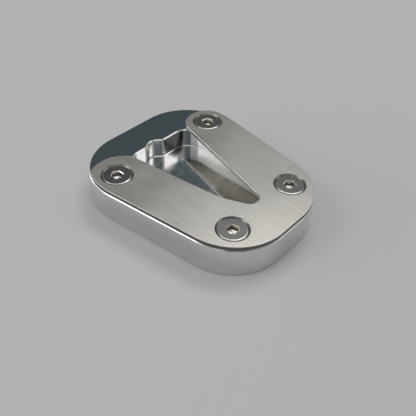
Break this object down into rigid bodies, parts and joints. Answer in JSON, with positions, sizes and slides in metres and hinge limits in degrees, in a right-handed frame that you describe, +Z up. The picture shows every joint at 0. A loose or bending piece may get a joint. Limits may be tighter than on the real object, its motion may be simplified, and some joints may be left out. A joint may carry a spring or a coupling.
{
  "type": "kickstand foot enlarger",
  "caption": "Tapered metal foot with a pocket and a slotted clamp plate, screwed around the foot of a motorbike side stand to spread its load on soft ground.",
  "frame": {"origin": "middle of the underside, at the centre of the block's outline box", "axes": "+X along the block towards its narrow end and the tip of the slot, +Z up out of the pocket"},
  "size_m": [0.0848, 0.0686, 0.0143],
  "materials": {
    "block": "bright milled and polished aluminium",
    "plate": "brushed stainless steel, grain along the plate",
    "screws": "stainless steel with finely turned heads"
  },
  "bodies": {
    "root": {"base_block": "block", "clamp_plate": "plate", "clamp_screws": "screws"}
  },
  "joints": []
}
